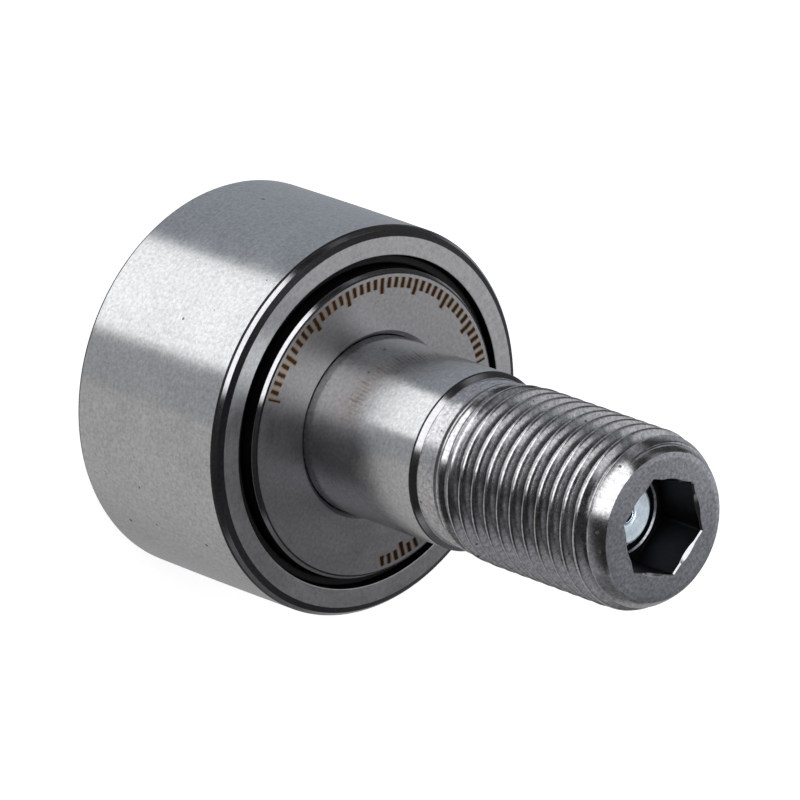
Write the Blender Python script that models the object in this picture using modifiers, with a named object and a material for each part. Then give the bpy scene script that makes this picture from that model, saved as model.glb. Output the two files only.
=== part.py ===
"""Cam follower: a stud-type track roller with a 22 mm outer ring on a 10 mm stud.

A crowned outer ring runs on caged needles round the raceway of a solid stud. The stud has a
flange at its head; a thrust washer is pressed on behind the raceway. Black plastic rings close
the gaps on both sides, and a grease nipple sits at the bottom of the threaded end's socket.

Frame: metres. The origin is the centre of the head's outer face, and +Z runs along the stud
towards its threaded end. The roller, the cage and the needles turn about axes parallel to Z.
"""

import math

import bmesh
import bpy
from mathutils import Matrix

MM = 0.001
MODEL = "cam_follower"

# Facets of a full turn.
LARGE_TURN = 64
SMALL_TURN = 32
CAGE_TURN = 56
NEEDLE_TURN = 16
HOLE_TURN = 12
WIRE_STEPS = 10
BALL_RINGS = 12
BALL_TURN = 20

MERGE_DISTANCE = 0.001 * MM
SHARP_ANGLE = math.radians(28)

# Stud: head flange, raceway, shank, neck and thread along +Z.
FLANGE_RADIUS = 8.7 * MM
FLANGE_THICKNESS = 2.0 * MM
FACE_BEVEL_WIDTH = 0.4 * MM
FACE_BEVEL_DEPTH = 0.15 * MM
RACEWAY_RADIUS = 5.97 * MM
RACEWAY_TOP = 10.97 * MM
SHANK_RADIUS = 5.0 * MM
SHANK_TOP = 21.45 * MM
NECK_RADIUS = 4.7 * MM
NECK_TOP = 23.5 * MM
NECK_LEDGE = 0.1 * MM
STUD_TOP = 36.0 * MM

# M10 x 1 thread.
THREAD_PITCH = 1.0 * MM
THREAD_CREST_RADIUS = 4.97 * MM
THREAD_ROOT_RADIUS = 4.39 * MM
THREAD_CREST_FLAT = 0.14 * MM
THREAD_ROOT_FLAT = 0.18 * MM
THREAD_ENVELOPE_RADIUS = 5.0 * MM
END_FACE_RADIUS = 4.1 * MM
CORE_RADIUS = 4.0 * MM
CORE_HEIGHT = 1.05 * MM
THREAD_OVERHANG = 0.3 * MM
ENVELOPE_INSET = 0.05 * MM

# How far a cutting solid reaches beyond the face that it opens.
OVERSHOOT = 1.0 * MM

# Hexagon sockets, 5 mm across flats, in both ends.
SOCKET_FLATS = 5.0 * MM
SOCKET_DEPTH = 3.0 * MM
SOCKET_MOUTH_RADIUS = 2.75 * MM
PILOT_RADIUS = 2.2 * MM
PILOT_FLOOR = 31.4 * MM
HEAD_PILOT_POINT = 3.8 * MM

# Lubrication bore.
NIPPLE_BORE_RADIUS = 2.0 * MM
NIPPLE_BORE_FLOOR = 26.8 * MM
OIL_BORE_RADIUS = 1.0 * MM
OIL_BORE_FLOOR = 5.9 * MM
OIL_BORE_POINT = 5.4 * MM
OIL_HOLE_RADIUS = 0.75 * MM

# Thrust washer, pressed on the stud between the raceway shoulder and the mounting face.
WASHER_LOW = 11.0 * MM
WASHER_HIGH = 13.0 * MM
WASHER_BORE_RADIUS = 5.04 * MM
WASHER_BORE_CHAMFER = 0.25 * MM

# Outer ring, centred between the flange and the washer.
ROLLER_CENTRE = 6.5 * MM
RING_RADIUS = 11.0 * MM
RING_HALF_WIDTH = 6.0 * MM
RING_EDGE_CHAMFER = 0.5 * MM
CROWN_RADIUS = 500.0 * MM
CROWN_STEPS = 4
RING_BORE_RADIUS = 8.04 * MM
RING_LAND_HALF_WIDTH = 3.7 * MM
COUNTERBORE_RADIUS = 9.35 * MM
COUNTERBORE_CHAMFER = 0.08 * MM

# Plastic ring with an L section: a lip in the gap and a disc against the ring's land.
SEAL_OUTER_RADIUS = 9.28 * MM
SEAL_LIP_RADIUS = 8.82 * MM
SEAL_DISC_RADIUS = 8.25 * MM
SEAL_LOW = 3.82 * MM
SEAL_DISC_HIGH = 4.36 * MM
SEAL_HIGH = 5.55 * MM

# Needles and cage.
NEEDLE_COUNT = 14
NEEDLE_RADIUS = 1.0 * MM
NEEDLE_LENGTH = 6.9 * MM
NEEDLE_END_BEVEL = 0.12 * MM
PITCH_RADIUS = 7.0 * MM
CAGE_INNER_RADIUS = 6.3 * MM
CAGE_OUTER_RADIUS = 7.7 * MM
CAGE_LENGTH = 8.3 * MM
POCKET_WIDTH = 2.1 * MM
POCKET_LENGTH = 7.1 * MM
POCKET_REACH = 3.0 * MM

# Grease nipple: body with a ball seat, ball and spring.
NIPPLE_LOW = 27.0 * MM
NIPPLE_SHOULDER = 31.3 * MM
NIPPLE_TOP = 33.2 * MM
NIPPLE_PRESS_RADIUS = 1.95 * MM
NIPPLE_HEAD_RADIUS = 1.75 * MM
NIPPLE_EDGE = 0.15 * MM
NIPPLE_CHAMBER_RADIUS = 0.95 * MM
NIPPLE_CHAMBER_FLOOR = 28.2 * MM
NIPPLE_OUTLET_RADIUS = 0.45 * MM
NIPPLE_MOUTH_RADIUS = 0.75 * MM
BALL_RADIUS = 0.8 * MM
BALL_CENTRE = 32.5 * MM
SEAT_RADIUS = 0.52 * MM
SEAT_GAP = 0.02 * MM
SEAT_RISE = 0.1 * MM
SPRING_RADIUS = 0.6 * MM
SPRING_WIRE_RADIUS = 0.12 * MM
SPRING_TURNS = 6
SPRING_LOW = 28.34 * MM
SPRING_HIGH = 31.72 * MM

STEEL = (0.52, 0.53, 0.55, 1.0)
DARK_STEEL = (0.36, 0.37, 0.39, 1.0)
BRIGHT_STEEL = (0.70, 0.71, 0.73, 1.0)
CAGE_STEEL = (0.40, 0.38, 0.35, 1.0)
ZINC = (0.66, 0.74, 0.82, 1.0)
BLACK_PLASTIC = (0.02, 0.02, 0.022, 1.0)

# Colour, roughness and metallic value of each material.
FINISHES = {
    "stud": (STEEL, 0.3, 1.0),
    "thrust_washer": (DARK_STEEL, 0.45, 1.0),
    "outer_ring": (STEEL, 0.25, 1.0),
    "seal_ring_head": (BLACK_PLASTIC, 0.6, 0.0),
    "seal_ring_stud": (BLACK_PLASTIC, 0.6, 0.0),
    "needle_cage": (CAGE_STEEL, 0.5, 1.0),
    "needle": (BRIGHT_STEEL, 0.15, 1.0),
    "nipple_body": (ZINC, 0.3, 1.0),
    "nipple_ball": (BRIGHT_STEEL, 0.15, 1.0),
    "nipple_spring": (BRIGHT_STEEL, 0.3, 1.0),
}


def clear_scene():
    for obj in list(bpy.data.objects):
        bpy.data.objects.remove(obj, do_unlink=True)


def new_collection(name):
    collection = bpy.data.collections.new(name)
    bpy.context.scene.collection.children.link(collection)
    return collection


def new_material(name):
    colour, roughness, metallic = FINISHES[name]
    material = bpy.data.materials.new(name)
    material.use_nodes = True
    shader = material.node_tree.nodes["Principled BSDF"]
    shader.inputs["Base Color"].default_value = colour
    shader.inputs["Roughness"].default_value = roughness
    shader.inputs["Metallic"].default_value = metallic
    return material


def new_object(name, mesh, collection):
    obj = bpy.data.objects.new(name, mesh)
    collection.objects.link(obj)
    return obj


def profile_mesh(name, points, closed):
    """An outline of (radius, height) points in the XZ plane."""
    mesh = bpy.data.meshes.new(name)
    count = len(points)
    edges = [(i, i + 1) for i in range(count - 1)]
    if closed:
        edges.append((count - 1, 0))
    mesh.from_pydata([(radius, 0.0, height) for radius, height in points], edges, [])
    return mesh


def turned(name, points, collection, facets=LARGE_TURN, closed=False):
    """A solid of revolution about Z; its outline runs down the outer side."""
    obj = new_object(name, profile_mesh(name, points, closed), collection)
    screw = obj.modifiers.new("Turn", "SCREW")
    screw.axis = "Z"
    screw.steps = facets
    screw.render_steps = facets
    screw.use_merge_vertices = True
    screw.merge_threshold = MERGE_DISTANCE
    return obj


def baked_mesh(obj):
    """The object's mesh with its modifiers applied."""
    depsgraph = bpy.context.evaluated_depsgraph_get()
    return bpy.data.meshes.new_from_object(obj.evaluated_get(depsgraph))


def bake(obj):
    mesh = baked_mesh(obj)
    mesh.name = obj.name
    obj.modifiers.clear()
    obj.data = mesh


def finish(obj, material):
    """Apply the modifiers, shade the round faces smooth and give the sub-part its material."""
    bake(obj)
    obj.data.materials.clear()
    obj.data.materials.append(material)
    obj.data.shade_smooth()
    obj.data.set_sharp_from_angle(angle=SHARP_ANGLE)
    return obj


def boolean(obj, tool, operation):
    modifier = obj.modifiers.new(operation.title(), "BOOLEAN")
    modifier.operation = operation
    modifier.solver = "EXACT"
    modifier.object = tool


def as_tool(obj):
    obj.display_type = "WIRE"
    obj.hide_render = True
    return obj


def cylinder(name, radius, depth, facets, transform, collection):
    mesh = bpy.data.meshes.new(name)
    solid = bmesh.new()
    bmesh.ops.create_cone(
        solid, cap_ends=True, segments=facets, radius1=radius, radius2=radius, depth=depth
    )
    bmesh.ops.transform(solid, matrix=transform, verts=solid.verts)
    solid.to_mesh(mesh)
    solid.free()
    return new_object(name, mesh, collection)


def thread_rod(tools):
    """An endless screw surface, cut flat at both ends and closed."""
    crest = THREAD_CREST_RADIUS
    root = THREAD_ROOT_RADIUS
    turn_start = NECK_TOP - 2 * THREAD_PITCH
    turns = math.ceil((STUD_TOP - turn_start) / THREAD_PITCH) + 1
    flank = (THREAD_PITCH - THREAD_CREST_FLAT - THREAD_ROOT_FLAT) / 2
    tooth = [
        (root, turn_start + THREAD_PITCH),
        (crest, turn_start + THREAD_PITCH - flank),
        (crest, turn_start + THREAD_ROOT_FLAT + flank),
        (root, turn_start + THREAD_ROOT_FLAT),
        (root, turn_start),
    ]
    ridge = new_object("thread_ridge", profile_mesh("thread_ridge", tooth, False), tools)
    screw = ridge.modifiers.new("Thread", "SCREW")
    screw.axis = "Z"
    screw.steps = SMALL_TURN
    screw.render_steps = SMALL_TURN
    screw.screw_offset = THREAD_PITCH
    screw.iterations = turns
    surface = bmesh.new()
    surface.from_mesh(baked_mesh(ridge))
    bpy.data.objects.remove(ridge)
    bmesh.ops.remove_doubles(surface, verts=surface.verts, dist=MERGE_DISTANCE)
    cuts = ((NECK_TOP - THREAD_OVERHANG, -1), (STUD_TOP + THREAD_OVERHANG, 1))
    for height, direction in cuts:
        geometry = surface.verts[:] + surface.edges[:] + surface.faces[:]
        bmesh.ops.bisect_plane(
            surface,
            geom=geometry,
            dist=MERGE_DISTANCE,
            plane_co=(0, 0, height),
            plane_no=(0, 0, direction),
            clear_outer=True,
        )
    open_edges = [edge for edge in surface.edges if edge.is_boundary]
    bmesh.ops.holes_fill(surface, edges=open_edges)
    bmesh.ops.recalc_face_normals(surface, faces=surface.faces)
    mesh = bpy.data.meshes.new("thread_rod")
    surface.to_mesh(mesh)
    surface.free()
    return as_tool(new_object("thread_rod", mesh, tools))


def thread_envelope(tools):
    """The chamfered cylinder that trims both ends of the thread.

    It stands turned by half a facet, so that its edges don't meet the neck's.
    """
    lead_in = THREAD_ENVELOPE_RADIUS - NECK_RADIUS
    inner = NECK_RADIUS - ENVELOPE_INSET
    bottom = NECK_TOP - 3 * ENVELOPE_INSET
    points = [
        (0.0, STUD_TOP),
        (END_FACE_RADIUS, STUD_TOP),
        (THREAD_ENVELOPE_RADIUS, STUD_TOP - (THREAD_ENVELOPE_RADIUS - END_FACE_RADIUS)),
        (THREAD_ENVELOPE_RADIUS, NECK_TOP + lead_in),
        (inner, NECK_TOP - ENVELOPE_INSET),
        (inner, bottom),
        (0.0, bottom),
    ]
    envelope = turned("thread_envelope", points, tools)
    envelope.rotation_euler = (0, 0, math.pi / LARGE_TURN)
    return as_tool(envelope)


def socket(name, mouth, floor, tools):
    """A hexagon prism with two corners on the X axis, from beyond the mouth to the floor."""
    outward = math.copysign(1.0, mouth - floor)
    end = mouth + outward * OVERSHOOT
    corner_radius = SOCKET_FLATS / 2 / math.cos(math.pi / 6)
    transform = Matrix.Translation((0, 0, (end + floor) / 2)) @ Matrix.Rotation(math.pi / 6, 4, "Z")
    return as_tool(cylinder(name, corner_radius, abs(end - floor), 6, transform, tools))


def lubrication_bore(tools):
    """The threaded end's countersink and pilot hole, the nipple's seat and the oil bore below."""
    slope = SOCKET_MOUTH_RADIUS - PILOT_RADIUS
    above = STUD_TOP + OVERSHOOT
    points = [
        (0.0, above),
        (SOCKET_MOUTH_RADIUS, above),
        (SOCKET_MOUTH_RADIUS, STUD_TOP),
        (PILOT_RADIUS, STUD_TOP - slope),
        (PILOT_RADIUS, PILOT_FLOOR),
        (NIPPLE_BORE_RADIUS, PILOT_FLOOR),
        (NIPPLE_BORE_RADIUS, NIPPLE_BORE_FLOOR),
        (OIL_BORE_RADIUS, NIPPLE_BORE_FLOOR),
        (OIL_BORE_RADIUS, OIL_BORE_FLOOR),
        (0.0, OIL_BORE_POINT),
    ]
    return as_tool(turned("lubrication_bore", points, tools, SMALL_TURN))


def head_pilot(tools):
    slope = SOCKET_MOUTH_RADIUS - PILOT_RADIUS
    below = -OVERSHOOT
    points = [
        (0.0, HEAD_PILOT_POINT),
        (PILOT_RADIUS, SOCKET_DEPTH),
        (PILOT_RADIUS, slope),
        (SOCKET_MOUTH_RADIUS, 0.0),
        (SOCKET_MOUTH_RADIUS, below),
        (0.0, below),
    ]
    return as_tool(turned("head_pilot", points, tools, SMALL_TURN))


def oil_hole(tools):
    """The radial hole from the bore to the middle of the raceway."""
    depth = RACEWAY_RADIUS + OVERSHOOT
    transform = Matrix.Translation((depth / 2, 0, ROLLER_CENTRE)) @ Matrix.Rotation(math.pi / 2, 4, "Y")
    return as_tool(cylinder("oil_hole", OIL_HOLE_RADIUS, depth, HOLE_TURN, transform, tools))


def build_stud(parts, tools, material):
    shoulder = SHANK_RADIUS - NECK_RADIUS
    ledge = NECK_TOP + NECK_LEDGE
    core_top = NECK_TOP + CORE_HEIGHT
    points = [
        (0.0, core_top),
        (CORE_RADIUS, core_top),
        (CORE_RADIUS, ledge),
        (NECK_RADIUS, ledge),
        (NECK_RADIUS, SHANK_TOP + shoulder),
        (SHANK_RADIUS, SHANK_TOP),
        (SHANK_RADIUS, RACEWAY_TOP),
        (RACEWAY_RADIUS, RACEWAY_TOP),
        (RACEWAY_RADIUS, FLANGE_THICKNESS),
        (FLANGE_RADIUS, FLANGE_THICKNESS),
        (FLANGE_RADIUS, FACE_BEVEL_DEPTH),
        (FLANGE_RADIUS - FACE_BEVEL_WIDTH, 0.0),
        (0.0, 0.0),
    ]
    stud = turned("stud", points, parts)
    thread = thread_rod(tools)
    boolean(thread, thread_envelope(tools), "INTERSECT")
    boolean(stud, thread, "UNION")
    boolean(stud, socket("end_socket", STUD_TOP, STUD_TOP - SOCKET_DEPTH, tools), "DIFFERENCE")
    boolean(stud, socket("head_socket", 0.0, SOCKET_DEPTH, tools), "DIFFERENCE")
    boolean(stud, lubrication_bore(tools), "DIFFERENCE")
    boolean(stud, head_pilot(tools), "DIFFERENCE")
    boolean(stud, oil_hole(tools), "DIFFERENCE")
    return finish(stud, material)


def build_thrust_washer(parts, material):
    chamfer = WASHER_BORE_CHAMFER
    points = [
        (FLANGE_RADIUS - FACE_BEVEL_WIDTH, WASHER_HIGH),
        (FLANGE_RADIUS, WASHER_HIGH - FACE_BEVEL_DEPTH),
        (FLANGE_RADIUS, WASHER_LOW),
        (WASHER_BORE_RADIUS, WASHER_LOW),
        (WASHER_BORE_RADIUS, WASHER_HIGH - chamfer),
        (WASHER_BORE_RADIUS + chamfer, WASHER_HIGH),
    ]
    return finish(turned("thrust_washer", points, parts, closed=True), material)


def crown_radius_at(offset):
    """Radius of the crowned outside at a distance from the ring's middle plane."""
    return RING_RADIUS - (CROWN_RADIUS - math.sqrt(CROWN_RADIUS**2 - offset**2))


def build_outer_ring(parts, material):
    low = ROLLER_CENTRE - RING_HALF_WIDTH
    high = ROLLER_CENTRE + RING_HALF_WIDTH
    land_low = ROLLER_CENTRE - RING_LAND_HALF_WIDTH
    land_high = ROLLER_CENTRE + RING_LAND_HALF_WIDTH
    crown_half = RING_HALF_WIDTH - RING_EDGE_CHAMFER
    edge_radius = crown_radius_at(crown_half) - RING_EDGE_CHAMFER
    offsets = [crown_half * (1 - 2 * i / CROWN_STEPS) for i in range(CROWN_STEPS + 1)]
    points = [(edge_radius, high)]
    points += [(crown_radius_at(offset), ROLLER_CENTRE + offset) for offset in offsets]
    points += [
        (edge_radius, low),
        (COUNTERBORE_RADIUS + COUNTERBORE_CHAMFER, low),
        (COUNTERBORE_RADIUS, low + COUNTERBORE_CHAMFER),
        (COUNTERBORE_RADIUS, land_low),
        (RING_BORE_RADIUS, land_low),
        (RING_BORE_RADIUS, land_high),
        (COUNTERBORE_RADIUS, land_high),
        (COUNTERBORE_RADIUS, high - COUNTERBORE_CHAMFER),
        (COUNTERBORE_RADIUS + COUNTERBORE_CHAMFER, high),
    ]
    return finish(turned("outer_ring", points, parts, closed=True), material)


def build_seal_ring(name, side, parts, material):
    """side is +1 towards the thread and -1 towards the head."""
    offsets = [
        (SEAL_OUTER_RADIUS, SEAL_HIGH),
        (SEAL_OUTER_RADIUS, SEAL_LOW),
        (SEAL_DISC_RADIUS, SEAL_LOW),
        (SEAL_DISC_RADIUS, SEAL_DISC_HIGH),
        (SEAL_LIP_RADIUS, SEAL_DISC_HIGH),
        (SEAL_LIP_RADIUS, SEAL_HIGH),
    ]
    points = [(radius, ROLLER_CENTRE + side * offset) for radius, offset in offsets]
    if side < 0:
        points.reverse()
    return finish(turned(name, points, parts, closed=True), material)


def pocket_cutters(tools):
    """One box for each pocket, all in one object."""
    mesh = bpy.data.meshes.new("pocket_cutters")
    boxes = bmesh.new()
    for index in range(NEEDLE_COUNT):
        turn = Matrix.Rotation(math.tau * index / NEEDLE_COUNT, 4, "Z")
        size = Matrix.Diagonal((POCKET_REACH, POCKET_WIDTH, POCKET_LENGTH, 1.0))
        place = Matrix.Translation((PITCH_RADIUS, 0, ROLLER_CENTRE))
        bmesh.ops.create_cube(boxes, size=1.0, matrix=turn @ place @ size)
    boxes.to_mesh(mesh)
    boxes.free()
    return as_tool(new_object("pocket_cutters", mesh, tools))


def build_needle_cage(parts, tools, material):
    low = ROLLER_CENTRE - CAGE_LENGTH / 2
    high = ROLLER_CENTRE + CAGE_LENGTH / 2
    points = [
        (CAGE_OUTER_RADIUS, high),
        (CAGE_OUTER_RADIUS, low),
        (CAGE_INNER_RADIUS, low),
        (CAGE_INNER_RADIUS, high),
    ]
    cage = turned("needle_cage", points, parts, CAGE_TURN, closed=True)
    boolean(cage, pocket_cutters(tools), "DIFFERENCE")
    return finish(cage, material)


def build_needles(parts, cage, material):
    """Each needle stands on its own axis and is carried round by the cage."""
    half = NEEDLE_LENGTH / 2
    rim = NEEDLE_RADIUS - NEEDLE_END_BEVEL
    points = [
        (0.0, half),
        (rim, half),
        (NEEDLE_RADIUS, half - NEEDLE_END_BEVEL),
        (NEEDLE_RADIUS, NEEDLE_END_BEVEL - half),
        (rim, -half),
        (0.0, -half),
    ]
    first = finish(turned("needle_01", points, parts, NEEDLE_TURN), material)
    needles = [first]
    for number in range(2, NEEDLE_COUNT + 1):
        needles.append(new_object(f"needle_{number:02d}", first.data, parts))
    for index, needle in enumerate(needles):
        angle = math.tau * index / NEEDLE_COUNT
        needle.location = (PITCH_RADIUS * math.cos(angle), PITCH_RADIUS * math.sin(angle), ROLLER_CENTRE)
        needle.rotation_euler = (0, 0, angle)
        needle.parent = cage
    return needles


def build_nipple_body(parts, material):
    seat_height = BALL_CENTRE + math.sqrt((BALL_RADIUS + SEAT_GAP) ** 2 - SEAT_RADIUS**2)
    seat_low = BALL_CENTRE + SEAT_RISE
    points = [
        (NIPPLE_HEAD_RADIUS - NIPPLE_EDGE, NIPPLE_TOP),
        (NIPPLE_HEAD_RADIUS, NIPPLE_TOP - NIPPLE_EDGE),
        (NIPPLE_HEAD_RADIUS, NIPPLE_SHOULDER),
        (NIPPLE_PRESS_RADIUS, NIPPLE_SHOULDER),
        (NIPPLE_PRESS_RADIUS, NIPPLE_LOW),
        (NIPPLE_OUTLET_RADIUS, NIPPLE_LOW),
        (NIPPLE_OUTLET_RADIUS, NIPPLE_CHAMBER_FLOOR),
        (NIPPLE_CHAMBER_RADIUS, NIPPLE_CHAMBER_FLOOR),
        (NIPPLE_CHAMBER_RADIUS, seat_low),
        (SEAT_RADIUS, seat_height),
        (NIPPLE_MOUTH_RADIUS, NIPPLE_TOP),
    ]
    return finish(turned("nipple_body", points, parts, SMALL_TURN, closed=True), material)


def build_nipple_ball(parts, material):
    mesh = bpy.data.meshes.new("nipple_ball")
    sphere = bmesh.new()
    bmesh.ops.create_uvsphere(
        sphere, u_segments=BALL_TURN, v_segments=BALL_RINGS, radius=BALL_RADIUS
    )
    sphere.to_mesh(mesh)
    sphere.free()
    ball = new_object("nipple_ball", mesh, parts)
    ball.location = (0, 0, BALL_CENTRE)
    return finish(ball, material)


def build_nipple_spring(parts, material):
    """A round wire wound between the chamber's floor and the ball."""
    curve = bpy.data.curves.new("nipple_spring", "CURVE")
    curve.dimensions = "3D"
    curve.bevel_depth = SPRING_WIRE_RADIUS
    curve.bevel_resolution = 2
    curve.use_fill_caps = True
    wire = curve.splines.new("POLY")
    count = SPRING_TURNS * WIRE_STEPS + 1
    wire.points.add(count - 1)
    for index, point in enumerate(wire.points):
        angle = math.tau * index / WIRE_STEPS
        height = SPRING_LOW + (SPRING_HIGH - SPRING_LOW) * index / (count - 1)
        point.co = (SPRING_RADIUS * math.cos(angle), SPRING_RADIUS * math.sin(angle), height, 1.0)
    obj = bpy.data.objects.new("nipple_spring", curve)
    parts.objects.link(obj)
    curve.materials.append(material)
    return obj


def main():
    clear_scene()
    parts = new_collection(MODEL)
    tools = new_collection(MODEL + "_cutters")
    build_stud(parts, tools, new_material("stud"))
    build_thrust_washer(parts, new_material("thrust_washer"))
    build_outer_ring(parts, new_material("outer_ring"))
    build_seal_ring("seal_ring_head", -1, parts, new_material("seal_ring_head"))
    build_seal_ring("seal_ring_stud", 1, parts, new_material("seal_ring_stud"))
    cage = build_needle_cage(parts, tools, new_material("needle_cage"))
    build_needles(parts, cage, new_material("needle"))
    build_nipple_body(parts, new_material("nipple_body"))
    build_nipple_ball(parts, new_material("nipple_ball"))
    build_nipple_spring(parts, new_material("nipple_spring"))


main()
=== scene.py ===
"""Looks of the cam follower: fine meshes, materials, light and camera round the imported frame.

Lengths are in millimetres, angles in degrees and powers in watts; meshes are made in metres, in
the frame's axes. The stud's axis is Z and its threaded end points up. The fine meshes are skins of
rings round an upright axis, but for the spring's wire. The needle cage keeps its CAD mesh.
"""

import math

import bmesh
import bpy
import numpy as np
from mathutils import Matrix, Vector


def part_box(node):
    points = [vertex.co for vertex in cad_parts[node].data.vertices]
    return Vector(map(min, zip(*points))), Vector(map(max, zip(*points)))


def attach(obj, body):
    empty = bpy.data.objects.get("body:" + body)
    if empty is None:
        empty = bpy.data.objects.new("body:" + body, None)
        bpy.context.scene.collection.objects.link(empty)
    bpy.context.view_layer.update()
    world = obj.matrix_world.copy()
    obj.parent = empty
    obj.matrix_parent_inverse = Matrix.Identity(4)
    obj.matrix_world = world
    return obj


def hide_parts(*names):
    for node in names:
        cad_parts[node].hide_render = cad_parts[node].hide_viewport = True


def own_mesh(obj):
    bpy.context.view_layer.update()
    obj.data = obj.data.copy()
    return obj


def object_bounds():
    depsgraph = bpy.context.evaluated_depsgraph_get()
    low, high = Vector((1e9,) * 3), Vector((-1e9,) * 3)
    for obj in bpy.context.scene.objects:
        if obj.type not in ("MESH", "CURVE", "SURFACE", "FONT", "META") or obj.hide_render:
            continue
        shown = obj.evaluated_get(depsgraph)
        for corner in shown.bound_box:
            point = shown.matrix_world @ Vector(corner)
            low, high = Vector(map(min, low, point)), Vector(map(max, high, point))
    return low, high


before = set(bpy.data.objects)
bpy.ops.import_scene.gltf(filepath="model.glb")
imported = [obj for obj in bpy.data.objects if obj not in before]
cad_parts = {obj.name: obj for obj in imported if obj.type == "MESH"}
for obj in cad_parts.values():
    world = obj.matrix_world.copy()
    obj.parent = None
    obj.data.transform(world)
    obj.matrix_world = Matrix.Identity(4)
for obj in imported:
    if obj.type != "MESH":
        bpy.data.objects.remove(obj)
CAD_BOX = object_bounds()

MM = 0.001

# Camera: a long lens that looks at the part from above its threaded end, turned on its side. It
# aims beside the middle of the CAD box, by CAMERA_AIM.
CAMERA_AZIMUTH = -70.9
CAMERA_ELEVATION = 45.33
CAMERA_ROLL = -109.47
CAMERA_DISTANCE = 531.3
CAMERA_LENS = 440.0
CAMERA_AIM = (-1.624, -0.561, -3.84)
CAMERA_SENSOR = 36.0
CAMERA_NEAR = 10.0
CAMERA_FAR = 20000.0

# Columns of points round a full turn; the stud's count is a multiple of its six hexagon corners.
STUD_COLUMNS = 192
RING_COLUMNS = 288
SMALL_COLUMNS = 96
NEEDLE_COLUMNS = 40

# Steps of a fillet's arc, and how far beside it a support row lies, which keeps the flat stretch
# flat under smooth shading. SHARP is the fillet of an edge that looks sharp.
ARC_STEPS = 6
SUPPORT = 0.03
SHARP = 0.02

# Stud: the sizes that its box doesn't give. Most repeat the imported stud's, but here the chamfer of
# the end is longer and crowned and has a bevelled rim, the socket's mouth is narrower (2.75 there),
# the thread rises more slowly out of the neck, its crest is flat for less (0.14 there), the edges
# are rounded, and a dark line runs round the shank's end.
FACE_BEVEL_WIDTH = 0.4
FACE_BEVEL_DEPTH = 0.15
FLANGE_THICKNESS = 2.0
RACEWAY_RADIUS = 5.97
RACEWAY_TOP = 10.97
SHANK_RADIUS = 5.0
SHANK_TOP = 21.45
STEP_LINE_WIDTH = 0.10
STEP_LINE_DEPTH = 0.04
NECK_RADIUS = 4.7
THREAD_PITCH = 1.0
THREAD_ROWS = 21
THREAD_LOW = 22.2
THREAD_FULL = 25.2
THREAD_HIGH = 35.8
THREAD_CREST_RADIUS = 4.97
THREAD_ROOT_RADIUS = 4.39
THREAD_CREST_HEIGHT = 25.45
THREAD_CREST_FLAT = 0.13
THREAD_ROOT_FLAT = 0.18
THREAD_SOFTNESS = 0.045
END_FACE_RADIUS = 4.1
END_RIM_WIDTH = 0.28
END_RIM_DEPTH = 0.05
END_SLOPE = 0.78
END_CROWN = 0.16
SOCKET_FLATS = 5.0
SOCKET_DEPTH = 3.0
SOCKET_MOUTH_RADIUS = 2.68
SOCKET_EDGE = 0.08
PILOT_RADIUS = 2.2
PILOT_DEPTH = 4.6
PILOT_EDGE = 0.09
HEAD_PILOT_POINT = 3.8
NIPPLE_BORE_RADIUS = 2.0
NIPPLE_BORE_FLOOR = 26.8
OIL_BORE_RADIUS = 1.0
OIL_BORE_FLOOR = 5.9
OIL_BORE_POINT = 5.4

# Outer ring. RING_EDGE lists how far each corner of the edge lies inside the outside and the face.
RING_EDGE = ((0.56, 0.0), (0.22, 0.17), (0.06, 0.36), (0.0, 0.5))
RING_EDGE_FILLETS = (0.03, 0.08, 0.06, 0.05)
RING_BORE_RADIUS = 8.04
RING_LAND_HALF_WIDTH = 3.7
COUNTERBORE_RADIUS = 9.35
CROWN_RADIUS = 500.0
CROWN_ROWS = 24

# Thrust washer. Its outer edge has two bevels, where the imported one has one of 0.4 by 0.15.
WASHER_BORE_RADIUS = 5.04
WASHER_BEVEL_WIDTH = 0.25
WASHER_BEVEL_DEPTH = 0.05
WASHER_EDGE_WIDTH = 0.15
WASHER_EDGE_DEPTH = 0.22
WASHER_BORE_CHAMFER = 0.25

# Seal rings, L-shaped in section.
SEAL_LIP_WIDTH = 0.46
SEAL_DISC_WIDTH = 1.03
SEAL_DISC_THICKNESS = 0.54

# Grease nipple. Its chamber ends a little above the ball's middle, and its mouth is narrower than the
# packed one's, which has a radius of 0.75.
NIPPLE_MOUTH_RADIUS = 0.6
NIPPLE_EDGE = 0.15
NIPPLE_CHAMBER_RADIUS = 0.95
NIPPLE_CHAMBER_FLOOR = 28.2
NIPPLE_CHAMBER_RISE = 0.1
NIPPLE_OUTLET_RADIUS = 0.45
NIPPLE_SHOULDER = 31.3
NIPPLE_HEAD_RADIUS = 1.75
SEAT_RADIUS = 0.52
SEAT_GAP = 0.02
SPRING_RADIUS = 0.6
SPRING_WIRE_RADIUS = 0.11
SPRING_TURNS = 6
SPRING_TURN_STEPS = 40
SPRING_WIRE_SIDES = 12

NEEDLE_END_RADIUS = 0.14

# Floor: a large square, FLOOR_GAP below the part.
FLOOR_HALF_WIDTH = 1500.0
FLOOR_GAP = 0.2
FLOOR_COLOUR = (0.8, 0.8, 0.8, 1)
FLOOR_GLOW = 0.8

# Spot on the nipple: its height above it and the radius that it lights there.
SOCKET_LIGHT_HEIGHT = 220.0
SOCKET_LIGHT_RADIUS = 2.3
SOCKET_LIGHT_POWER = 1.6
SOCKET_LIGHT_SIZE = 0.5
SOCKET_LIGHT_BLEND = 0.3

# Softbox: its azimuth counts from the camera's side, and PANEL_SHIFT moves it sideways.
PANEL_AZIMUTH = 180.0
PANEL_ELEVATION = 45.0
PANEL_DISTANCE = 50.0
PANEL_WIDTH = 50.0
PANEL_HEIGHT = 60.0
PANEL_SHIFT = 27.0
PANEL_POWER = 0.0038

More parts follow.
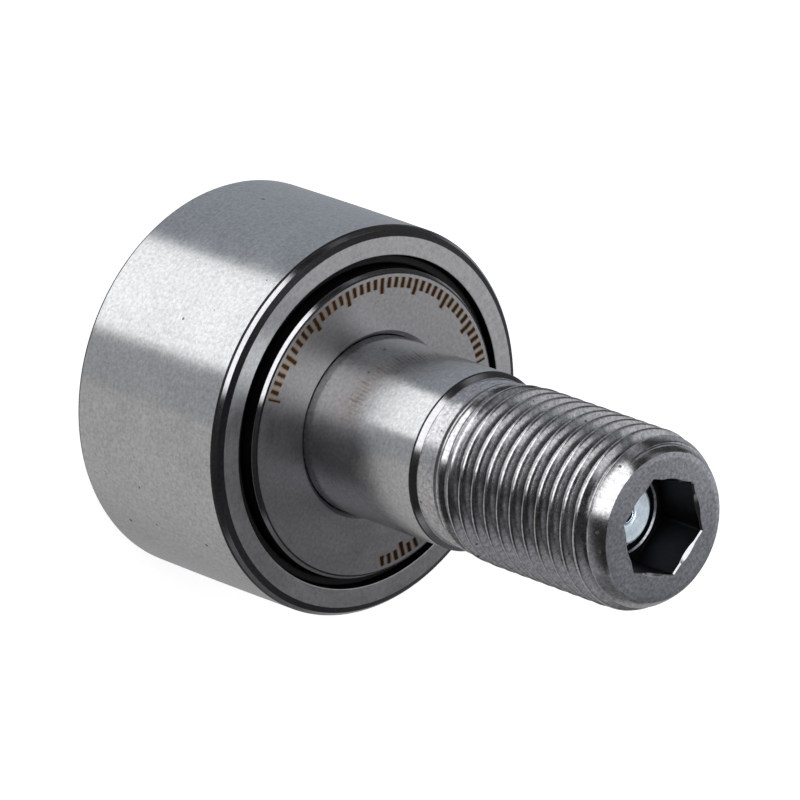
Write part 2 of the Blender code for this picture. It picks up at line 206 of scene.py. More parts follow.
# Marks burnt into the washer's face. Angles count from TICK_MIDDLE. Cores and halos are shares of
# a tick's width, from outside to inside; heights are those between which the paint sets in.
TICK_MIDDLE = 221.8
TICK_SPAN = 144.0
TICK_SHORT_ARC = (-175.0, -152.0)
TICK_PITCH = 3.6
TICK_WIDTH = 0.22
TICK_OUTER_RADIUS = 8.3
TICK_SHORT_RADIUS = 7.65
TICK_LONG_RADIUS = 7.35
TICKS_TO_LONG_ONE = 5
TICK_END_SOFTNESS = 0.06
TICK_ARC_SOFTNESS = 0.2
TICK_WOBBLE = 0.12
TICK_WOBBLE_SCALE = 3.0
TICK_CORE = (0.6, 0.35)
TICK_HALO = (1.1, 0.4)
TICK_CORE_COLOUR = (0.055, 0.028, 0.014, 1)
TICK_HALO_COLOUR = (0.28, 0.17, 0.08, 1)
TICK_HEIGHTS = (12.5, 12.6)
# Painted reflection: a dark patch on the washer's face beside the ticks, standing for the shank's dark
# reflection. Its arc, how soft its ends are, its strength, its colour and the heights between which it sets
# in.
PAINTED_REFLECTION_ARC = (20.0, 80.0)
PAINTED_REFLECTION_SOFTNESS = 12.0
PAINTED_REFLECTION_STRENGTH = 0.45
PAINTED_REFLECTION_COLOUR = (0.10, 0.08, 0.07, 1)
PAINTED_REFLECTION_HEIGHTS = (12.0, 12.1)

# Steel: how strong the streaks are, noise scales per millimetre, how much the noise changes the
# roughness, and what a mark does. GRAIN_TURN turns the grain's gloss, as a share of a full turn.
STREAKS = 0.12
SPECKLE_SCALE = 5.0
CLOUD_SCALE = 0.35
CLOUD_ROUGHNESS = 0.16
STREAK_ROUGHNESS = 0.10
MARK_TONE = 0.6
MARK_ROUGHNESS = 0.3
MARK_DEPTH = 1.5
MARK_EDGE = 0.25
MARK_BEND = (0.10, -0.08, 0.12)
MARK_BEND_SCALE = 4.0
GRAIN_TURN = 0.25
RELIEF_DISTANCE = 0.01

# Black plastic.
PLASTIC_GRAIN_SCALE = 6.0
PLASTIC_CLOUD_SCALE = 0.8
PLASTIC_DARK = (0.004, 0.004, 0.005, 1)
PLASTIC_LIGHT = (0.010, 0.010, 0.011, 1)
PLASTIC_ROUGHNESS = (0.5, 0.75)
PLASTIC_RELIEF = 0.3

# Painted shade in the thread's grooves: the radii and heights between which it fades.
GROOVE_SHADE_RADII = (4.42, 4.68)
GROOVE_SHADE_END = (34.3, 35.2)
GROOVE_SHADE_TONE = 0.35


def node_box(name):
    """Lowest and highest corner of a CAD node, in millimetres."""
    low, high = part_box(name)
    return low / MM, high / MM


def node_radius(name):
    """Half of a CAD node's width, in millimetres."""
    low, high = node_box(name)
    return (high.x - low.x) / 2


def link(obj):
    bpy.context.scene.collection.objects.link(obj)
    return obj


def direction(azimuth, elevation):
    """The unit vector that points to an azimuth and an elevation, in radians."""
    return Vector((
        math.cos(elevation) * math.cos(azimuth),
        math.cos(elevation) * math.sin(azimuth),
        math.sin(elevation),
    ))


def placed(middle, *axes):
    """The matrix that puts an object's origin at a point and turns its axes to the ones given."""
    return Matrix.Translation(middle) @ Matrix(axes).transposed().to_4x4()


# ---------------------------------------------------------------- meshes


def smooth_mesh(name, points, faces, slots=()):
    """A smooth mesh whose faces all look outwards, from points in millimetres."""
    mesh = bpy.data.meshes.new(name)
    mesh.from_pydata([tuple(c * MM for c in point) for point in points], [], faces)
    if slots:
        mesh.polygons.foreach_set("material_index", slots)
    solid = bmesh.new()
    solid.from_mesh(mesh)
    bmesh.ops.recalc_face_normals(solid, faces=solid.faces)
    solid.to_mesh(mesh)
    solid.free()
    mesh.shade_smooth()
    return mesh


class Skin:
    """A skin of rings round the Z axis, one point on each column, joined in the order given.

    A radius or height is one number or one for each column. Sizes are in millimetres.
    """

    def __init__(self, columns):
        self.columns = columns
        self.angles = np.arange(columns) * math.tau / columns
        self.points = []
        self.faces = []
        self.slots = []
        self.last = None
        self.first = None

    def add_ring(self, radius, height):
        start = len(self.points)
        radius = np.broadcast_to(radius, self.columns)
        height = np.broadcast_to(height, self.columns)
        x = radius * np.cos(self.angles)
        y = radius * np.sin(self.angles)
        self.points.extend(zip(x, y, height))
        return list(range(start, start + self.columns))

    def add_face(self, corners, slot):
        corners = list(dict.fromkeys(corners))
        if len(corners) > 2:
            self.faces.append(corners)
            self.slots.append(slot)

    def band(self, one, other, slot):
        for j in range(self.columns):
            k = (j + 1) % self.columns
            self.add_face((one[j], one[k], other[k], other[j]), slot)

    def join(self, ring, slot):
        if self.last is not None:
            self.band(self.last, ring, slot)
        self.last = ring
        self.first = self.first or ring

    def ring(self, radius, height, slot):
        self.join(self.add_ring(radius, height), slot)

    def pole(self, height, slot):
        """A single point on the axis, which opens or closes the skin."""
        self.points.append((0.0, 0.0, height))
        self.join([len(self.points) - 1] * self.columns, slot)

    def close(self, slot):
        self.band(self.last, self.first, slot)

    def thread(self, low, pitch, rows, radius_at, end_radius, slot):
        """Goes on downwards to a flat ring at low, along rows that follow a right-hand helix.

        Where a row comes nearer than a quarter of a row's height to a flat ring, or passes it, the
        ring's own point is taken.
        """
        high_ring = self.last
        high = self.points[high_ring[0]][2]
        low_ring = self.add_ring(end_radius, low)
        count = rows * (math.ceil((high - low) / pitch) + 1)
        near = pitch / rows / 4
        table = []
        for m in range(count + 1):
            heights = low + (m / rows + np.arange(self.columns) / self.columns - 1) * pitch
            radii = radius_at(self.angles, heights)
            row = []
            for j, height in enumerate(heights):
                if height <= low + near:
                    row.append(low_ring[j])
                elif height >= high - near:
                    row.append(high_ring[j])
                else:
                    angle = self.angles[j]
                    row.append(len(self.points))
                    self.points.append((radii[j] * math.cos(angle), radii[j] * math.sin(angle), height))
            table.append(row)
        for m in range(count):
            for j in range(self.columns - 1):
                one, other = table[m], table[m + 1]
                self.add_face((one[j], one[j + 1], other[j + 1], other[j]), slot)
            one = table[min(m + rows, count)]
            other = table[min(m + 1 + rows, count)]
            self.add_face((table[m][-1], one[0], other[0], table[m + 1][-1]), slot)
        self.last = low_ring

    def mesh(self, name):
        return smooth_mesh(name, self.points, self.faces, self.slots)


def rounded(corners, columns, closed=False):
    """Turns an outline's corners (radius, height, fillet, slot) into arcs between short support rows.

    The slot is that of the stretch from the corner before, and changes in the middle of the arc.
    """
    places = []
    for radius, height, _, _ in corners:
        place = np.stack([np.broadcast_to(radius, columns), np.broadcast_to(height, columns)], 1)
        places.append(place.astype(float))
    count = len(corners)
    rows = []
    for i, (_, _, fillet, slot) in enumerate(corners):
        place = places[i]
        open_end = not closed and i in (0, count - 1)
        if open_end or fillet == 0:
            rows.append((place[:, 0], place[:, 1], slot))
            continue
        back = places[i - 1] - place
        ahead = places[(i + 1) % count] - place
        back_length = np.linalg.norm(back, axis=1, keepdims=True)
        ahead_length = np.linalg.norm(ahead, axis=1, keepdims=True)
        back = back / back_length
        ahead = ahead / ahead_length
        half = np.arccos(np.clip((back * ahead).sum(1, keepdims=True), -1, 1)) / 2
        reach = fillet / np.tan(half)
        middle = back + ahead
        centre = place + middle / np.linalg.norm(middle, axis=1, keepdims=True) * fillet / np.sin(half)
        start = place + back * reach
        end = place + ahead * reach
        support = np.minimum(SUPPORT, (np.minimum(back_length, ahead_length) - reach) / 4)
        rows.append((*(start + back * support).T, slot))
        rows.append((*start.T, slot))
        next_slot = corners[(i + 1) % count][3]
        for step in range(1, ARC_STEPS):
            share = step / ARC_STEPS
            arm = (start - centre) * (1 - share) + (end - centre) * share
            arm = arm / np.linalg.norm(arm, axis=1, keepdims=True) * fillet
            rows.append((*(centre + arm).T, slot if 2 * step <= ARC_STEPS else next_slot))
        rows.append((*end.T, next_slot))
        rows.append((*(end + ahead * support).T, next_slot))
    return rows


def turned(name, corners, columns, closed=False):
    """A mesh turned from an outline; an open outline starts and ends on the axis."""
    skin = Skin(columns)
    rows = rounded(corners, columns, closed)
    if not closed:
        rows = rows[1:-1]
        skin.pole(corners[0][1], corners[0][3])
    for radius, height, slot in rows:
        skin.ring(radius, height, slot)
    if closed:
        skin.close(rows[0][2])
    else:
        skin.pole(corners[-1][1], corners[-1][3])
    return skin.mesh(name)


def piece(name, mesh, materials, nodes, body):
    """Makes an object of a mesh that stands for CAD nodes and rides on their body."""
    obj = link(bpy.data.objects.new(name, mesh))
    for material in materials:
        mesh.materials.append(material)
    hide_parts(*nodes)
    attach(obj, body)
    return obj


def smooth_step(value, low, high):
    share = np.clip((value - low) / (high - low), 0, 1)
    return share * share * (3 - 2 * share)


def soft_clamp(value, softness):
    """Clamps to 0..1 with rounded corners."""

    def ramp(x):
        return softness * np.logaddexp(0, x / softness)

    return ramp(value) - ramp(value - 1)


def hexagon(angles):
    """Radius of a hexagon with two corners on the X axis, at each angle."""
    side = math.tau / 6
    offset = np.mod(angles, side) - side / 2
    return SOCKET_FLATS / 2 / np.cos(offset)


def end_radius(height, top):
    """Radius of the stud's chamfered end, a cone that is slightly crowned."""
    depth = np.clip(top - height, 0, END_SLOPE / END_CROWN / 2)
    return END_FACE_RADIUS + END_SLOPE * depth - END_CROWN * depth * depth


def thread_radius(angles, heights, top):
    """M10 x 1: a soft trapezoid that rises out of the neck and is cut by the end's chamfer."""
    turns = (heights - THREAD_CREST_HEIGHT) / THREAD_PITCH - angles / math.tau
    distance = np.abs(turns - np.round(turns))
    flank = 0.5 - (THREAD_CREST_FLAT + THREAD_ROOT_FLAT) / 2
    drop = soft_clamp((distance - THREAD_CREST_FLAT / 2) / flank, THREAD_SOFTNESS)
    run_in = smooth_step(heights, THREAD_LOW, THREAD_FULL)
    crest = NECK_RADIUS + (THREAD_CREST_RADIUS - NECK_RADIUS) * run_in
    root = NECK_RADIUS + (THREAD_ROOT_RADIUS - NECK_RADIUS) * run_in
    radius = crest + (root - crest) * drop
    return np.minimum(radius, end_radius(heights, top))


# Material slots of the stud and the ring, in the order of the list of steels in main.
# Two slots hold painted shade: the fourth is nearly black steel in the bores and sockets, and the last is
# blackened steel on the chamfers that also paints shade on the counterbores' walls.
GROUND, THREAD, END_FACE, RECESS_PAINTED_SHADE, SIDE_FACE, EDGE, BLACKENED_AND_PAINTED_SHADE = range(7)


def stud_mesh():
    """The stud as one skin, from the bottom of its oil bore round the outside to its head's socket.

    The radial oil hole, which the needles and the ring hide, is left out.
    """
    low, high = node_box("stud")
    top = high.z
    flange_radius = node_radius("stud")
    skin = Skin(STUD_COLUMNS)
    hexagon_radius = hexagon(skin.angles)
    mouth_radius = np.maximum(hexagon_radius + SOCKET_EDGE, SOCKET_MOUTH_RADIUS)
    rim = mouth_radius - hexagon_radius
    floor = top - SOCKET_DEPTH
    pilot_floor = top - PILOT_DEPTH
    # The bores, pilots and hexagon walls take the nearly black slot, which is painted shade.
    inside = [
        (0.0, OIL_BORE_POINT, 0, RECESS_PAINTED_SHADE),
        (OIL_BORE_RADIUS, OIL_BORE_FLOOR, 0, RECESS_PAINTED_SHADE),
        (OIL_BORE_RADIUS, NIPPLE_BORE_FLOOR, 0.05, RECESS_PAINTED_SHADE),
        (NIPPLE_BORE_RADIUS, NIPPLE_BORE_FLOOR, 0.05, RECESS_PAINTED_SHADE),
        (NIPPLE_BORE_RADIUS, pilot_floor, SHARP, RECESS_PAINTED_SHADE),
        (PILOT_RADIUS, pilot_floor, 0.05, RECESS_PAINTED_SHADE),
        (PILOT_RADIUS, floor - PILOT_EDGE, SHARP, RECESS_PAINTED_SHADE),
        (PILOT_RADIUS + PILOT_EDGE, floor, SHARP, END_FACE),
        (hexagon_radius, floor, SHARP, RECESS_PAINTED_SHADE),
        (hexagon_radius, top - rim, SHARP, RECESS_PAINTED_SHADE),
        (mouth_radius, top, SHARP, EDGE),
        (END_FACE_RADIUS - END_RIM_WIDTH, top, 0.05, END_FACE),
        (END_FACE_RADIUS, top - END_RIM_DEPTH, 0.05, END_FACE),
        (end_radius(THREAD_HIGH, top), THREAD_HIGH, 0, THREAD),
    ]
    rows = rounded(inside, skin.columns)
    skin.pole(OIL_BORE_POINT, RECESS_PAINTED_SHADE)
    for radius, height, slot in rows[1:]:
        skin.ring(radius, height, slot)
    skin.thread(
        THREAD_LOW,
        THREAD_PITCH,
        THREAD_ROWS,
        lambda angles, heights: thread_radius(angles, heights, top),
        NECK_RADIUS,
        THREAD,
    )
    shoulder = SHANK_RADIUS - STEP_LINE_DEPTH - NECK_RADIUS
    outside = [
        (NECK_RADIUS, THREAD_LOW, 0, GROUND),
        (NECK_RADIUS, SHANK_TOP + shoulder, 0.12, THREAD),
        (SHANK_RADIUS - STEP_LINE_DEPTH, SHANK_TOP, SHARP, EDGE),
        (SHANK_RADIUS, SHANK_TOP - STEP_LINE_WIDTH, SHARP, BLACKENED_AND_PAINTED_SHADE),
        (SHANK_RADIUS, RACEWAY_TOP, SHARP, GROUND),
        (RACEWAY_RADIUS, RACEWAY_TOP, 0.1, GROUND),
        (RACEWAY_RADIUS, FLANGE_THICKNESS, 0.1, GROUND),
        (flange_radius, FLANGE_THICKNESS, 0.1, GROUND),
        (flange_radius, FACE_BEVEL_DEPTH, 0.06, GROUND),
        (flange_radius - FACE_BEVEL_WIDTH, low.z, 0.2, GROUND),
        (mouth_radius, low.z, SHARP, SIDE_FACE),
        (hexagon_radius, low.z + rim, SHARP, RECESS_PAINTED_SHADE),
        (hexagon_radius, low.z + SOCKET_DEPTH, SHARP, RECESS_PAINTED_SHADE),
        (PILOT_RADIUS, low.z + SOCKET_DEPTH, SHARP, RECESS_PAINTED_SHADE),
        (0.0, HEAD_PILOT_POINT, 0, RECESS_PAINTED_SHADE),
    ]
    rows = rounded(outside, skin.columns)
    for radius, height, slot in rows[1:-1]:
        skin.ring(radius, height, slot)
    skin.pole(HEAD_PILOT_POINT, RECESS_PAINTED_SHADE)
    return skin.mesh("stud_fine")


def ring_mesh():
    """The outer ring: crowned outside, edges bevelled in three steps, counterbores and raceway."""
    low, high = node_box("outer_ring")
    radius = node_radius("outer_ring")
    middle = (low.z + high.z) / 2
    half = (high.z - low.z) / 2
    crown_half = half - RING_EDGE[-1][1]

    def crown(offset):
        return radius - CROWN_RADIUS + math.sqrt(CROWN_RADIUS**2 - offset**2)

    def edge(step, side, slot):
        width, depth = RING_EDGE[step]
        return crown(crown_half) - width, middle + side * (half - depth), RING_EDGE_FILLETS[step], slot

    outline = [
        edge(0, 1, SIDE_FACE),
        edge(1, 1, BLACKENED_AND_PAINTED_SHADE),
        edge(2, 1, EDGE),
        edge(3, 1, BLACKENED_AND_PAINTED_SHADE),
    ]
    for row in range(1, CROWN_ROWS):
        offset = crown_half * (1 - 2 * row / CROWN_ROWS)
        outline.append((crown(offset), middle + offset, 0, GROUND))
    outline += [
        edge(3, -1, GROUND),
        edge(2, -1, BLACKENED_AND_PAINTED_SHADE),
        edge(1, -1, EDGE),
        edge(0, -1, BLACKENED_AND_PAINTED_SHADE),
        (COUNTERBORE_RADIUS, low.z, 0.06, SIDE_FACE),
        # The two counterbore walls, up to this row and up to the last one, take the blackened steel as
        # painted shade.
        (COUNTERBORE_RADIUS, middle - RING_LAND_HALF_WIDTH, 0.1, BLACKENED_AND_PAINTED_SHADE),
        (RING_BORE_RADIUS, middle - RING_LAND_HALF_WIDTH, 0.1, SIDE_FACE),
        (RING_BORE_RADIUS, middle + RING_LAND_HALF_WIDTH, 0.1, GROUND),
        (COUNTERBORE_RADIUS, middle + RING_LAND_HALF_WIDTH, 0.1, SIDE_FACE),
        (COUNTERBORE_RADIUS, high.z, 0.06, BLACKENED_AND_PAINTED_SHADE),
    ]
    return turned("outer_ring_fine", outline, RING_COLUMNS, closed=True)


def washer_mesh():
    """The pressed-on washer, whose outer edge is bevelled in two steps."""
    low, high = node_box("thrust_washer")
    radius = node_radius("thrust_washer")
    chamfer = WASHER_BORE_CHAMFER
    face, dark, edge = range(3)
    outline = [
        (radius - WASHER_BEVEL_WIDTH, high.z, 0.03, face),
        (radius - WASHER_EDGE_WIDTH, high.z - WASHER_BEVEL_DEPTH, 0.05, dark),
        (radius, high.z - WASHER_EDGE_DEPTH, 0.06, edge),
        # The washer's outside, up to this corner, takes the blackened steel as painted shade.
        (radius, low.z, 0.06, dark),
        (WASHER_BORE_RADIUS, low.z, 0.05, face),
        (WASHER_BORE_RADIUS, high.z - chamfer, 0.05, face),
        (WASHER_BORE_RADIUS + chamfer, high.z, 0.05, face),
    ]
    return turned("thrust_washer_fine", outline, RING_COLUMNS, closed=True)


def seal_mesh(name, side):
    """A seal ring; side is +1 at the washer and -1 at the head. Its disc faces the ring's land."""
    low, high = node_box(name)
    outer = node_radius(name)
    lip = outer - SEAL_LIP_WIDTH
    disc = outer - SEAL_DISC_WIDTH
    deep, shallow = (low.z, high.z) if side > 0 else (high.z, low.z)
    disc_face = deep + side * SEAL_DISC_THICKNESS
    outline = [
        (outer, shallow, 0.1, 0),
        (outer, deep, 0.08, 0),
        (disc, deep, 0.06, 0),
        (disc, disc_face, 0.06, 0),
        (lip, disc_face, 0.1, 0),
        (lip, shallow, 0.1, 0),
    ]
    return turned(name + "_fine", outline, RING_COLUMNS, closed=True)


def nipple_mesh():
    """The pressed-in body, with a turned face, a countersunk mouth and the ball's seat."""
    low, high = node_box("nipple_body")
    ball_low, ball_high = node_box("nipple_ball")
    ball = (ball_low.z + ball_high.z) / 2
    ball_radius = (ball_high.z - ball_low.z) / 2
    press_radius = node_radius("nipple_body")
    seat = ball + math.sqrt((ball_radius + SEAT_GAP) ** 2 - SEAT_RADIUS**2)
    outline = [
        (NIPPLE_HEAD_RADIUS - NIPPLE_EDGE, high.z, 0.12, 0),
        (NIPPLE_HEAD_RADIUS, high.z - NIPPLE_EDGE, 0.05, 0),
        (NIPPLE_HEAD_RADIUS, NIPPLE_SHOULDER, 0.04, 0),
        (press_radius, NIPPLE_SHOULDER, 0.06, 0),
        (press_radius, low.z, 0.1, 0),
        (NIPPLE_OUTLET_RADIUS, low.z, 0.05, 0),
        (NIPPLE_OUTLET_RADIUS, NIPPLE_CHAMBER_FLOOR, 0.04, 0),
        (NIPPLE_CHAMBER_RADIUS, NIPPLE_CHAMBER_FLOOR, 0.06, 0),
        (NIPPLE_CHAMBER_RADIUS, ball + NIPPLE_CHAMBER_RISE, 0.05, 0),
        (SEAT_RADIUS, seat, SHARP, 0),
        (NIPPLE_MOUTH_RADIUS, high.z, 0.05, 0),
    ]
    return turned("nipple_body_fine", outline, SMALL_COLUMNS, closed=True)


def ball_mesh():
    low, high = node_box("nipple_ball")
    radius = (high.z - low.z) / 2
    centre = (high.z + low.z) / 2
    steps = SMALL_COLUMNS // 2
    outline = []
    for step in range(steps + 1):
        angle = math.pi * step / steps
        outline.append((radius * math.sin(angle), centre + radius * math.cos(angle), 0, 0))
    return turned("nipple_ball_fine", outline, SMALL_COLUMNS)


def needle_mesh(name):
    """A needle with rounded ends, turned about its own axis and then set in its place."""
    low, high = node_box(name)
    radius = node_radius(name)
    outline = [
        (0.0, high.z, 0, 0),
        (radius, high.z, NEEDLE_END_RADIUS, 0),
        (radius, low.z, NEEDLE_END_RADIUS, 0),
        (0.0, low.z, 0, 0),
    ]
    mesh = turned(name + "_fine", outline, NEEDLE_COLUMNS)
    mesh.transform(Matrix.Translation(((low.x + high.x) / 2 * MM, (low.y + high.y) / 2 * MM, 0)))
    return mesh


def spring_mesh():
    """A round wire with plain ends, wound evenly between the chamber's floor and the ball."""
    low, high = node_box("nipple_spring")
    bottom = low.z + SPRING_WIRE_RADIUS
    top = high.z - SPRING_WIRE_RADIUS
    steps = SPRING_TURNS * SPRING_TURN_STEPS
    sides = SPRING_WIRE_SIDES
    points = []
    for step in range(steps + 1):
        share = step / steps
        angle = math.tau * SPRING_TURNS * share
        height = bottom + (top - bottom) * share
        outward = np.array([math.cos(angle), math.sin(angle), 0.0])
        for side in range(sides):
            turn = math.tau * side / sides
            place = outward * (SPRING_RADIUS + SPRING_WIRE_RADIUS * math.cos(turn))
            place[2] = height + SPRING_WIRE_RADIUS * math.sin(turn)
            points.append(tuple(place))
    faces = []
    for step in range(steps):
        for side in range(sides):
            one = step * sides
            other = one + sides
            after = (side + 1) % sides
            faces.append((one + side, one + after, other + after, other + side))
    faces.append(tuple(range(sides)))
    faces.append(tuple(range(steps * sides, (steps + 1) * sides)))
    return smooth_mesh("nipple_spring_fine", points, faces)


# ---------------------------------------------------------------- materials


class Nodes:
    """A short way to write a node tree: sockets and plain values can be given as inputs."""

    def __init__(self, tree):
        self.tree = tree

    def add(self, kind, values=(), **settings):
        node = self.tree.nodes.new(kind)
        for name, value in settings.items():
            setattr(node, name, value)
        for key, value in dict(values).items():
            self.set(node.inputs[key], value)
        return node

    def set(self, socket, value):
        if isinstance(value, bpy.types.NodeSocket):
            self.tree.links.new(value, socket)
        else:
            socket.default_value = value

    def math(self, operation, *values):
        node = self.add("ShaderNodeMath", enumerate(values), operation=operation)
        return node.outputs[0]

    def vector(self, operation, *values):
        node = self.add("ShaderNodeVectorMath", enumerate(values), operation=operation)
        return node.outputs["Value" if operation in ("LENGTH", "DOT_PRODUCT") else "Vector"]

    def noise(self, vector, scale, detail=2.0, roughness=0.5):
        values = {"Vector": vector, "Scale": scale, "Detail": detail, "Roughness": roughness}
        return self.add("ShaderNodeTexNoise", values).outputs["Fac"]

    def window(self, value, low, high, soft):
        """1 between low and high, with soft edges."""
        rise = self.step(value, low - soft, low + soft)
        fall = self.step(value, high + soft, high - soft)
        return self.math("MULTIPLY", rise, fall)

    def step(self, value, low, high, to_low=0.0, to_high=1.0):
        """Goes smoothly from to_low to to_high as value goes from low to high; low may be the larger."""
        values = {"Value": value, "From Min": low, "From Max": high, "To Min": to_low, "To Max": to_high}
        node = self.add("ShaderNodeMapRange", values, interpolation_type="SMOOTHSTEP")
        return node.outputs["Result"]

    def mix(self, factor, one, other):
        """A colour between two others; 0, 6, 7 and output 2 are the mix node's colour sockets."""
        node = self.add("ShaderNodeMix", data_type="RGBA")
        for key, value in ((0, factor), (6, one), (7, other)):
            self.set(node.inputs[key], value)
        return node.outputs[2]


def new_material(name):
    material = bpy.data.materials.new(name)
    material.use_nodes = True
    tree = material.node_tree
    shader = tree.nodes["Principled BSDF"]
    return material, Nodes(tree), shader


def grain_vector(n, along, across):
    """Coordinates for turned marks, slow round the axis and quick along it and along the radius.

    Gives also the plain place and the distance from the axis, both in metres.
    """
    place = n.add("ShaderNodeTexCoord").outputs["Object"]
    parts = n.add("ShaderNodeSeparateXYZ", {0: place})
    flat = n.add("ShaderNodeCombineXYZ", {0: parts.outputs[0], 1: parts.outputs[1], 2: 0.0}).outputs[0]
    radius = n.vector("LENGTH", flat)
    turn = n.vector("NORMALIZE", flat)
    slow = n.vector("SCALE", turn)
    slow.node.inputs["Scale"].default_value = along
    across_value = n.math("MULTIPLY", n.math("ADD", radius, parts.outputs[2]), across / MM)
    up = n.add("ShaderNodeCombineXYZ", {2: across_value}).outputs[0]
    return n.vector("ADD", slow, up), place, radius


def dimples(n, place, cell, share, size):
    """Small dark marks: one in some of the cells, each of its own size. 1 inside a mark."""
    bend = n.noise(place, MARK_BEND_SCALE / MM, 2.0, 0.5)
    shifts = [n.math("MULTIPLY", bend, shift * MM) for shift in MARK_BEND]
    moved = n.vector("ADD", place, n.add("ShaderNodeCombineXYZ", enumerate(shifts)).outputs[0])
    cells = n.add("ShaderNodeTexVoronoi", {"Vector": moved, "Scale": 1 / (cell * MM)})
    chance = n.add("ShaderNodeSeparateColor", {0: cells.outputs["Color"]}).outputs[0]
    reach = n.step(chance, 1 - share, 1.0, 0.0, size / cell)
    edge = n.math("SUBTRACT", reach, cells.outputs["Distance"])
    return n.step(edge, 0.0, MARK_EDGE * size / cell)


def add_relief(n, shader, height, strength):
    """Bump by a height that is counted in RELIEF_DISTANCE."""
    values = {"Height": height, "Strength": strength, "Distance": RELIEF_DISTANCE * MM}
    n.set(shader.inputs["Normal"], n.add("ShaderNodeBump", values).outputs[0])


def steel(
    name,
    colour,
    roughness,
    grain=(6.0, 9.0),
    speckle=0.3,
    cloud=0.12,
    marks=None,
    anisotropy=0.0,
    bump=0.1,
    paint=None,
):
    """Machined steel: streaks round the axis, fine speckle, cloudy tone and small marks.

    grain is how fast the streaks change along and across the machining, per turn and per mm.
    marks is the cell size, the share of cells with a mark and the marks' size.
    paint takes the nodes, the colour so far, the place and the distance from the axis, and gives the
    final colour.
    """
    material, n, shader = new_material(name)
    grain_place, place, radius = grain_vector(n, *grain)
    streak = n.noise(grain_place, 1.0, 3.0, 0.6)
    speck = n.noise(place, SPECKLE_SCALE / MM, 2.0, 0.7)
    clouds = n.noise(place, CLOUD_SCALE / MM, 3.0, 0.5)
    tone = 1.0
    for source, amount in ((streak, STREAKS), (speck, speckle), (clouds, cloud)):
        change = n.math("MULTIPLY", n.math("SUBTRACT", source, 0.5), 2 * amount)
        tone = n.math("ADD", change, tone)
    rough = roughness
    for source, amount in ((clouds, CLOUD_ROUGHNESS), (streak, STREAK_ROUGHNESS)):
        change = n.math("MULTIPLY", n.math("SUBTRACT", source, 0.5), amount)
        rough = n.math("ADD", change, rough)
    height = n.math("ADD", n.math("MULTIPLY", streak, 0.5), n.math("MULTIPLY", speck, 0.5))
    if marks:
        mark = dimples(n, place, *marks)
        tone = n.math("MULTIPLY", tone, n.math("SUBTRACT", 1.0, n.math("MULTIPLY", mark, MARK_TONE)))
        rough = n.math("ADD", rough, n.math("MULTIPLY", mark, MARK_ROUGHNESS))
        height = n.math("SUBTRACT", height, n.math("MULTIPLY", mark, MARK_DEPTH))
    scaled = n.vector("SCALE", tuple(colour))
    n.set(scaled.node.inputs["Scale"], tone)
    if paint:
        scaled = paint(n, scaled, place, radius)
    n.set(shader.inputs["Base Color"], scaled)
    n.set(shader.inputs["Roughness"], rough)
    shader.inputs["Metallic"].default_value = 1.0
    if anisotropy:
        shader.inputs["Anisotropic"].default_value = anisotropy
        shader.inputs["Anisotropic Rotation"].default_value = GRAIN_TURN
        tangent = n.add("ShaderNodeTangent", direction_type="RADIAL", axis="Z")
        n.set(shader.inputs["Tangent"], tangent.outputs[0])
    add_relief(n, shader, height, bump)
    return material


def painted_groove_shade(n, colour, place, radius):
    """Painted shade: the thread's grooves are darker than its crests, up to the chamfered end."""
    height = n.add("ShaderNodeSeparateXYZ", {0: place}).outputs[2]
    tone = n.step(n.math("DIVIDE", height, MM), *GROOVE_SHADE_END, GROOVE_SHADE_TONE, 1.0)
    share = n.step(n.math("DIVIDE", radius, MM), *GROOVE_SHADE_RADII, tone, 1.0)
    darker = n.vector("SCALE", colour)
    n.set(darker.node.inputs["Scale"], share)
    return darker


